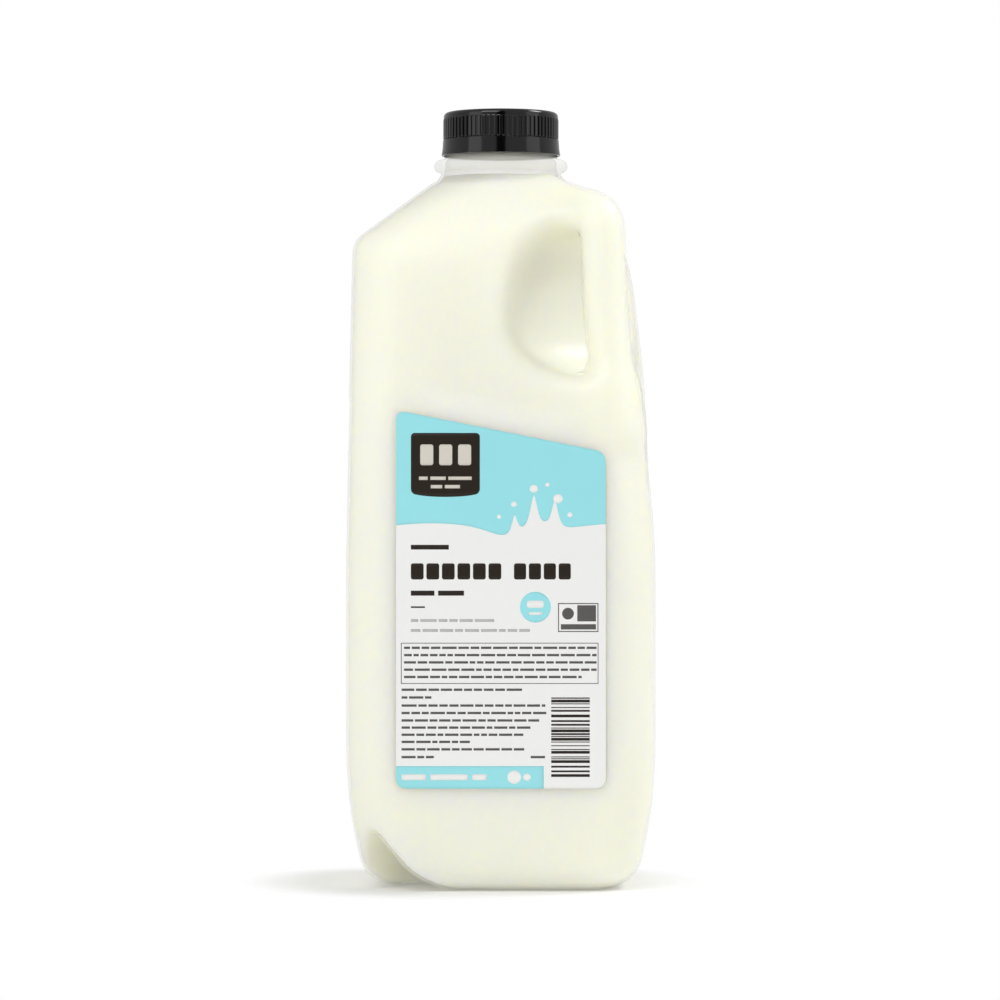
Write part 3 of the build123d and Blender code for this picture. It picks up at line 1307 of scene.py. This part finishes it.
@dataclass
class LabelPrint:
    """The print: fields of colour and simple shapes, with no lettering.

    Rows of bars stand where a label has its lines of words.
    """

    film: LabelFilm
    seed: int = 7
    wave_height: float = 118.4
    jets: tuple[tuple[float, float, float], ...] = (
        (4.4, 5.2, 1.1), (10.6, 9.6, 1.5), (17.4, 7.4, 1.3),
    )
    ink_root: float = 0.02
    stripe_gauges: tuple[float, ...] = (0.3, 0.3, 0.6, 0.9)

    def wave(self, x: Array) -> Array:
        """Height of the line between the blue field and the white one, with a splash in it.

        Args:
            x: Places to the right of the axis.

        Returns:
            The heights.
        """
        swell = 1.1 * np.sin((x + 38.0) * 0.10)
        height = self.wave_height + swell - 2.4 * np.exp(-(((x - 3.0) / 9.0) ** 2))
        for middle, rise, spread in self.jets:
            height = height + rise * np.exp(-(np.abs((x - middle) / spread) ** 1.6))
        return height + 3.0 * np.exp(-(((x - 11.0) / 8.5) ** 4))

    def outline_columns(self, right: float, spacing: float) -> Array:
        """Columns from the label's left edge to a place on it, close at the rounded corner.

        Args:
            right: The last column.
            spacing: The distance between columns past the corner.

        Returns:
            The columns.
        """
        film = self.film
        turns = np.linspace(0.0, math.pi / 2, 7)
        rounded = -film.half_width + film.corner * (1.0 - np.sin(turns))
        start = -film.half_width + film.corner
        inner = np.linspace(start, right, math.ceil((right - start) / spacing))
        return np.concatenate([rounded[::-1], inner[1:]])

    def blue_spans(self) -> list[tuple]:
        """The pale blue field over the wave, the strip along the bottom, and a disc.

        Returns:
            For each patch its columns, and its low and high edge.
        """
        film = self.film
        left = self.outline_columns(film.half_width - film.corner, 0.4)
        right = -self.outline_columns(film.half_width - film.corner, 0.4)[:7][::-1]
        columns = np.concatenate([left, right[1:]])
        strip = self.outline_columns(13.8, 1.5)
        return [
            (columns, self.wave(columns), film.top_edge(columns)),
            (strip, film.low_edge(strip), np.full(len(strip), 41.3)),
            disc(11.1, 92.5, 5.0),
        ]

    def badge_span(self) -> tuple:
        """The dark badge with its curved lower edge.

        Returns:
            Its columns, and its low and high edge.
        """
        columns, low, high = bar(-29.0, -6.8, 129.6, 148.6, 1.2)
        return columns, low - 1.6 * np.sqrt(1.0 - ((columns + 17.9) / 11.2) ** 2), high

    def words(self, x0: float, x1: float, middle: float, height: float) -> list[tuple]:
        """A row of bars as long as words.

        Args:
            x0: Where the row starts.
            x1: Where it ends.
            middle: Height of the row's middle.
            height: Height of the bars.

        Returns:
            The bars.
        """
        chance = np.random.default_rng(self.seed + round(middle * 10))
        gap = height * 0.75
        bars = []
        start = x0
        while start < x1 - 0.5:
            end = min(start + height * chance.uniform(2.2, 6.5), x1)
            end = x1 if x1 - end < 2.0 * height else end
            bars.append(bar(start, end, middle - height / 2, middle + height / 2))
            start = end + gap
        return bars

    def block_row(self, starts: Sequence[float], width: float, low: float, high: float) -> list:
        """A row of equal rounded blocks."""
        return [bar(start, start + width, low, high, min(0.7, width / 3)) for start in starts]

    def title_spans(self) -> list[tuple]:
        """The large title and the two lines near it.

        Returns:
            For each patch its columns, and its low and high edge.
        """
        title = self.block_row([-29.0 + 5.0 * step for step in range(6)], 4.1, 101.4, 106.6)
        title += self.block_row([4.2 + 4.8 * step for step in range(4)], 3.9, 101.4, 106.6)
        return [
            *title,
            *self.words(-29.0, -16.8, 111.8, 1.5),
            *self.words(-29.0, -11.9, 97.0, 1.6),
            bar(-29.0, -24.5, 92.25, 92.75),
        ]

    def row_spans(self) -> list[tuple]:
        """The small dark rows in the frame and under it.

        Returns:
            For each patch its columns, and its low and high edge.
        """
        framed = [(-31.2, 30.8, 79.4 - 2.35 * row) for row in range(4)] + [(-31.2, 26.0, 70.0)]
        under = [
            (-32.0, 6.8, 65.9), (-32.0, -22.4, 63.4), (-32.0, 14.3, 60.8), (-32.0, 14.6, 58.4),
            (-32.0, 12.3, 56.0), (-32.0, 9.5, 53.7), (-32.0, 7.2, 51.4), (-32.0, -10.0, 49.1),
            (-32.0, 7.5, 46.7), (-32.0, -21.6, 44.2), (9.6, 14.2, 44.2),
        ]
        spans = []
        for x0, x1, middle in framed + under:
            spans += self.words(x0, x1, middle, 0.75)
        return spans

    def frame_spans(self, x0: float, x1: float, z0: float, z1: float, line: float) -> list[tuple]:
        """A thin rectangular outline.

        Args:
            x0: Its left side.
            x1: Its right side.
            z0: Its bottom.
            z1: Its top.
            line: How wide its lines are.

        Returns:
            The four bars.
        """
        return [
            bar(x0, x1, z1 - line, z1),
            bar(x0, x1, z0, z0 + line),
            bar(x0, x0 + line, z0 + line, z1 - line),
            bar(x1 - line, x1, z0 + line, z1 - line),
        ]

    def mark_spans(self) -> list[tuple]:
        """The outline round the framed rows, and a small black-and-white mark.

        Returns:
            For each patch its columns, and its low and high edge.
        """
        return [
            *self.frame_spans(-32.2, 31.4, 67.8, 81.0, 0.22),
            *self.frame_spans(18.4, 31.4, 84.5, 93.8, 0.3),
            bar(24.6, 30.6, 87.9, 93.1),
            disc(21.6, 90.4, 1.9),
            bar(19.3, 30.6, 85.3, 87.0),
        ]

    def stripe_spans(self) -> list[tuple]:
        """A stack of level stripes of uneven thickness.

        Returns:
            For each patch its columns, and its low and high edge.
        """
        chance = np.random.default_rng(self.seed)
        stripes = []
        low, top = 37.8, 63.4
        while low < top - 0.4:
            high = min(low + chance.choice(self.stripe_gauges), top)
            stripes.append(bar(16.2, 28.6, low, high))
            low = high + chance.choice(self.stripe_gauges)
        return stripes

    def layer(self, name: str, spans: Sequence[tuple], order: int) -> bpy.types.Object:
        """One printed layer, over the layers of lower order.

        Args:
            name: The piece's name.
            spans: For each patch its columns, and its low and high edge.
            order: Its place in the stack, from 1.

        Returns:
            The piece.
        """
        base = self.film.thickness + (order - 1) * self.film.ink_thickness
        top = base + self.film.ink_thickness
        return self.film.patch(name, spans, base - self.ink_root, top, ROW_LENGTH)

    def build(self) -> list[tuple[bpy.types.Object, Finish]]:
        """Every printed layer with its ink.

        Returns:
            The pieces and their inks.
        """
        drops = [
            disc(10.6, 130.6, 1.3), disc(4.2, 125.6, 0.9), disc(18.4, 127.4, 1.5),
            disc(15.0, 131.9, 0.7), disc(22.2, 122.2, 0.8), disc(-0.6, 121.6, 0.7),
        ]
        faint = [*self.words(-29.0, -2.2, 88.2, 0.9), *self.words(-29.0, 9.3, 85.0, 0.9)]
        on_blue = [*self.words(-32.0, -4.6, 37.7, 1.9), disc(4.3, 37.7, 2.2), disc(8.4, 37.7, 1.2)]
        on_disc = [bar(8.4, 13.8, 92.2, 94.6, 0.7), bar(8.9, 13.3, 90.0, 90.9)]
        on_badge = [
            *self.block_row([-26.0, -19.9, -13.8], 4.2, 138.2, 144.9),
            *self.words(-26.4, -9.4, 134.0, 1.1),
            *self.words(-22.6, -13.2, 131.3, 1.1),
        ]
        layers = [
            ("label_blue", self.blue_spans(), 1, BLUE_INK),
            ("label_title", self.title_spans(), 1, DARK_INK),
            ("label_rows", self.row_spans(), 1, SOFT_BLACK_INK),
            ("label_faint_rows", faint, 1, GREY_INK),
            ("label_marks", self.mark_spans(), 1, SOFT_BLACK_INK),
            ("label_stripes", self.stripe_spans(), 1, DARK_INK),
            ("label_badge", [self.badge_span()], 2, DARK_INK),
            ("label_drops", drops + on_blue + on_disc, 2, WHITE_INK),
            ("label_badge_marks", on_badge, 3, CREAM_INK),
        ]
        return [(self.layer(name, spans, order), tint) for name, spans, order, tint in layers]


# --- The cap ----------------------------------------------------------------------------------


class RingOf:
    """A Geometry Nodes tree that repeats one small part round the axis."""

    def __init__(self) -> None:
        """Builds the tree, with a part, a count and a finish as its named inputs."""
        tree = bpy.data.node_groups.new("ring_of", "GeometryNodeTree")
        make = tree.interface.new_socket
        make("Geometry", in_out="INPUT", socket_type="NodeSocketGeometry")
        self.count = make("Count", in_out="INPUT", socket_type="NodeSocketInt").identifier
        self.finish = make("Finish", in_out="INPUT", socket_type="NodeSocketMaterial").identifier
        make("Geometry", in_out="OUTPUT", socket_type="NodeSocketGeometry")
        board = Board(tree)
        given = board.add("NodeGroupInput").outputs
        step = board.math("DIVIDE", 2.0 * math.pi, given["Count"])
        index = board.add("GeometryNodeInputIndex").outputs["Index"]
        turn = board.add("ShaderNodeCombineXYZ", {"Z": board.math("MULTIPLY", index, step)})
        points = board.add("GeometryNodePoints", {"Count": given["Count"]})
        placed = board.add(
            "GeometryNodeInstanceOnPoints",
            {
                "Points": points.outputs[0],
                "Instance": given["Geometry"],
                "Rotation": turn.outputs[0],
            },
        )
        real = board.add(
            "GeometryNodeRealizeInstances", {"Geometry": placed.outputs["Instances"]}
        )
        dressed = board.add(
            "GeometryNodeSetMaterial",
            {"Geometry": real.outputs["Geometry"], "Material": given["Finish"]},
        )
        board.add("NodeGroupOutput", {"Geometry": dressed.outputs["Geometry"]})
        self.tree = tree

    def repeat(self, piece: bpy.types.Object, count: int, finish: bpy.types.Material) -> None:
        """Turns a piece that holds one part into a plain mesh of a whole ring of them.

        Args:
            piece: The piece.
            count: How many parts go round.
            finish: Their material.
        """
        modifier = piece.modifiers.new("ring", "NODES")
        modifier.node_group = self.tree
        modifier[self.count] = count
        modifier[self.finish] = finish
        graph = bpy.context.evaluated_depsgraph_get()
        mesh = bpy.data.meshes.new_from_object(piece.evaluated_get(graph))
        piece.modifiers.clear()
        piece.data = mesh


@dataclass
class ScrewCap:
    """The ribbed cap and the tamper band under it."""

    low: float
    high: float
    radius: float
    band_low: float
    rib_count: int = 72
    rib_depth: float = 0.4
    rib_share: float = 0.68
    rib_root: float = 0.25
    rib_round: float = 0.12
    rib_flank_share: float = 0.94
    rib_flat_share: float = 0.7
    edge_radius: float = 1.5
    rim_width: float = 1.5
    rim_step: float = 0.25
    rim_drops: tuple[float, float] = (2.5, 2.2)
    dish_depth: float = 0.25
    dish_slope: float = 0.3
    bore_round: float = 0.4
    wall: float = 1.4
    seat: float = 253.6
    segments: int = 144
    band_gap: float = 0.14
    band_chamfer: float = 0.12
    band_foot_radius: float = 19.75
    bridge_count: int = 8
    bridge_width: float = 1.2
    bridge_inset: float = 0.1
    bridge_outset: float = 0.16
    bridge_root: float = 0.15
    bridge_slack: float = 0.01

    def shell(self) -> bpy.types.Object:
        """The cap's smooth shell, with a rounded edge and a faint dish in its top.

        Returns:
            The piece.
        """
        skirt = self.radius - self.rib_depth
        bend = self.edge_radius
        edge = arc((skirt - bend + self.rim_step, self.high - bend), (bend, bend), 0, 90, 8)
        surface = Surface()
        bore = self.radius - self.wall
        core = bore * 0.4
        start = lathe_ring(surface, core, self.seat, self.segments)
        flat = edge[-1][0] - self.rim_width
        dish = self.high - self.dish_depth
        rim_low, rim_high = (self.high - drop for drop in self.rim_drops)
        profile = [
            (bore - self.bore_round, self.seat), (bore, self.seat - self.bore_round),
            (bore, self.low), (skirt - self.band_chamfer, self.low),
            (skirt, self.low + self.band_chamfer), (skirt, rim_low),
            (skirt + self.rim_step, rim_high), *edge, (flat, self.high),
            (flat - self.dish_slope, dish), (core, dish),
        ]
        surface.cap_off(surface.rings(start, profile), dish)
        pole = surface.add(np.array([[0.0, 0.0, self.seat]]), [])[0]
        for index, point in enumerate(start):
            surface.faces.append((pole, start[(index + 1) % len(start)], point))
        return surface.build("cap_shell", sharp_angle=24.0)

    def rib(self) -> bpy.types.Object:
        """One upright rib of the skirt, half a pitch round, tapered into the rim at its top.

        Returns:
            The piece.
        """
        half = math.pi * self.radius / self.rib_count * self.rib_share
        inner = self.radius - self.rib_depth - self.rib_root
        levels = [
            (self.low + 0.1, 0.75), (self.low + 0.35, 1.0), (self.high - 2.9, 1.0),
            (self.high - 2.3, 0.8), (self.high - 1.9, 0.4),
        ]
        turn = math.pi / self.rib_count
        across = np.array([[math.cos(turn), math.sin(turn)], [-math.sin(turn), math.cos(turn)]])
        flank, flat = half * self.rib_flank_share, half * self.rib_flat_share
        sections = []
        for height, share in levels:
            crown = inner + self.rib_root + self.rib_depth * share
            side = crown - self.rib_round
            section = [
                (inner, half), (inner, -half), (side, -flank),
                (crown, -flat), (crown, flat), (side, flank),
            ]
            sections.append((np.array(section) @ across, height))
        return stacked("cap_ribs", sections)

    def band(self) -> bpy.types.Object:
        """The tamper band, slightly wider towards its foot.

        Returns:
            The piece.
        """
        top = self.low - self.band_gap
        bore = self.radius - self.wall
        foot = self.band_low
        wide = self.band_foot_radius
        profile = [
            (wide - 0.7, foot), (wide - 0.12, foot), (wide, foot + 0.12),
            (wide, foot + 0.5), (wide - 0.28, foot + 2.2),
            (self.radius + 0.08, top - self.band_chamfer), (self.radius - 0.04, top),
            (bore, top), (bore, foot + 2.3), (wide - 0.75, foot + 0.9),
        ]
        return turned("band_ring", profile, self.segments)

    def bridge(self) -> bpy.types.Object:
        """One of the thin bridges that hold the band to the cap.

        Returns:
            The piece.
        """
        inner = self.radius - self.wall + self.bridge_inset
        outer = self.radius - self.bridge_outset
        half = self.bridge_width / 2
        plan = np.array([(inner, -half), (outer, -half), (outer, half), (inner, half)])
        foot, head = self.low - self.band_gap - self.bridge_root, self.low - self.bridge_slack
        return stacked("band_bridges", [(plan, foot), (plan, head)])


# --- The studio -------------------------------------------------------------------------------


def emission(board: Board, strength: float) -> bpy.types.NodeSocket:
    """Adds a white emission and gives its output."""
    inputs = {"Color": rgba(WHITE), "Strength": strength}
    return board.add("ShaderNodeEmission", inputs).outputs[0]


def matt(board: Board, tone: float) -> bpy.types.NodeSocket:
    """Adds a grey diffuse shader and gives its output."""
    return board.add("ShaderNodeBsdfDiffuse", {"Color": rgba((tone, tone, tone))}).outputs[0]


@dataclass(frozen=True)
class Lamp:
    """An area lamp that faces the middle of the object, in metres and watts."""

    name: str
    place: Point
    size: tuple[float, float]
    power: float
    aim_height: float = 0.12

    def build(self) -> None:
        """Hangs the lamp."""
        data = bpy.data.lights.new(self.name, "AREA")
        data.shape = "RECTANGLE"
        data.size, data.size_y = self.size
        data.energy = self.power
        lamp = bpy.data.objects.new(self.name, data)
        lamp.location = self.place
        bpy.context.scene.collection.objects.link(lamp)
        away = lamp.location - type(lamp.location)((0.0, 0.0, self.aim_height))
        lamp.rotation_euler = away.to_track_quat("Z", "Y").to_euler()


@dataclass
class Studio:
    """The white floor, the soft lights, the surroundings and the camera, in metres.

    One lamp stands above and behind, one above in front, and a tall soft one at each side.
    """

    camera_distance: float = 1.495
    camera_height: float = 0.127
    camera_side: float = -0.0003
    lens: float = 161.5
    ambience: float = 0.575
    floor_half: float = 4.0
    floor_tone: float = 0.86
    floor_glow: float = 0.10
    floor_bounce: float = 0.20
    shadow_middle: Point = (-0.009, 0.0, 0.0)
    shadow_fade: tuple[float, float] = (0.052, 0.080)
    flag_half_width: float = 0.26
    flag_height: float = 2.4
    flag_lift: float = 0.02
    flag_gap: float = 0.15
    flag_tone: float = 0.004
    lamps: tuple[Lamp, ...] = (
        Lamp("back_lamp", (0.9, 0.15, 1.2), (0.4, 0.4), 6.0),
        Lamp("front_lamp", (-0.45, -1.0, 1.2), (0.8, 0.6), 6.1),
        Lamp("left_lamp", (-1.2, -0.9, 0.55), (0.75, 1.5), 2.9),
        Lamp("right_lamp", (1.35, -0.55, 0.5), (0.8, 1.3), 2.3),
    )

    def floor(self) -> None:
        """A wide white floor that keeps the object's shadow and fades to white past it."""
        half = self.floor_half / MM
        signs = np.array([[-1, -1, 0], [1, -1, 0], [1, 1, 0], [-1, 1, 0]])
        corners = signs * half
        floor = Surface(corners, [(0, 1, 2, 3)]).build("floor", smooth=False)
        material = bpy.data.materials.new("floor_white")
        board = blank_board(material)
        path = board.add("ShaderNodeLightPath").outputs
        lit = matt(board, self.floor_tone)
        seen = board.math("MAXIMUM", path["Is Camera Ray"], path["Is Glossy Ray"])
        seen = board.math("MAXIMUM", seen, path["Is Transmission Ray"])
        near = board.add("ShaderNodeAddShader", {0: lit, 1: emission(board, self.floor_glow)})
        place = board.add("ShaderNodeTexCoord").outputs["Object"]
        reach = board.add(
            "ShaderNodeVectorMath", {0: place, 1: self.shadow_middle}, operation="DISTANCE"
        ).outputs["Value"]
        low, high = self.shadow_fade
        far = board.add(
            "ShaderNodeMapRange",
            {"Value": reach, "From Min": low, "From Max": high},
            interpolation_type="SMOOTHSTEP",
        ).outputs["Result"]
        faded = board.add(
            "ShaderNodeMixShader", {0: far, 1: near.outputs[0], 2: emission(board, 1.0)}
        )
        bright = board.add("ShaderNodeAddShader", {0: lit, 1: emission(board, self.floor_bounce)})
        shown = board.add(
            "ShaderNodeMixShader", {0: seen, 1: bright.outputs[0], 2: faded.outputs[0]}
        )
        board.add("ShaderNodeOutputMaterial", {"Surface": shown.outputs[0]})
        dress(floor, material)

    def surroundings(self) -> None:
        """A white studio round the object, seen as pure white."""
        world = bpy.data.worlds.new("studio")
        board = blank_board(world)
        path = board.add("ShaderNodeLightPath").outputs
        seen = board.math("MAXIMUM", path["Is Camera Ray"], path["Is Transmission Ray"])
        strength = board.add(
            "ShaderNodeMapRange", {"Value": seen, "To Min": self.ambience, "To Max": 1.0}
        ).outputs["Result"]
        glow = board.add("ShaderNodeBackground", {"Color": rgba(WHITE), "Strength": strength})
        board.add("ShaderNodeOutputWorld", {"Surface": glow.outputs[0]})
        bpy.context.scene.world = world

    def flag(self) -> None:
        """A tall narrow black flag behind the camera, which the cap's gloss mirrors."""
        half, away = self.flag_half_width, -self.camera_distance - self.flag_gap
        low, high = self.flag_lift, self.flag_height
        corners = np.array(
            [[-half, away, low], [-half, away, high], [half, away, high], [half, away, low]]
        )
        flag = Surface(corners / MM, [(0, 1, 2, 3)]).build("flag", smooth=False)
        material = bpy.data.materials.new("flag_black")
        board = blank_board(material)
        board.add("ShaderNodeOutputMaterial", {"Surface": matt(board, self.flag_tone)})
        dress(flag, material)

    def camera(self) -> None:
        """The camera, level with the middle of the object."""
        data = bpy.data.cameras.new("camera")
        data.lens = self.lens
        data.sensor_width = 36.0
        data.clip_end = 50.0
        camera = bpy.data.objects.new("camera", data)
        camera.location = (self.camera_side, -self.camera_distance, self.camera_height)
        camera.rotation_euler = (math.pi / 2, 0.0, 0.0)
        bpy.context.scene.collection.objects.link(camera)
        bpy.context.scene.camera = camera

    def build(self) -> None:
        """Sets up the whole studio."""
        self.floor()
        self.surroundings()
        self.flag()
        for lamp in self.lamps:
            lamp.build()
        self.camera()
        bpy.context.scene.view_settings.view_transform = "Standard"


def main() -> None:
    """Builds every piece in order and reports it."""
    logging.basicConfig(level=logging.INFO, format="%(message)s")
    surface = moulded_surface()
    half_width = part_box(Node.LABEL.value)[1].x / MM
    form = BottleForm(half_width=BODY_HALF_WIDTH)

    fit(Bottle(form).build(), JUG_PLASTIC.material(surface), Node.JUG, Slot.JUG)
    milk = MilkLoad(form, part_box(Node.MILK.value)[1].z / MM).build()
    fit(milk, MILK.material(surface), Node.MILK, Slot.MILK)

    film = LabelFilm(form, half_width, low=34.0, left_high=156.0, right_high=142.5)
    for piece, finish in [(film.film(), LABEL_FILM), *LabelPrint(film).build()]:
        fit(piece, finish.material(surface), Node.LABEL, Slot.LABEL)

    cap_low, cap_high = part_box(Node.CAP.value)
    band_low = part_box(Node.BAND.value)[0].z / MM
    cap = ScrewCap(cap_low.z / MM, cap_high.z / MM, cap_high.x / MM, band_low)
    plastic = CAP_PLASTIC.material(surface)
    ring = RingOf()
    parts = (
        (cap.shell(), Node.CAP, 1),
        (cap.rib(), Node.CAP, cap.rib_count),
        (cap.band(), Node.BAND, 1),
        (cap.bridge(), Node.BAND, cap.bridge_count),
    )
    for piece, node, count in parts:
        if count > 1:
            ring.repeat(piece, count, plastic)
        fit(piece, plastic, node, Slot.CAP)

    Studio().build()


if __name__ == "__main__":
    main()
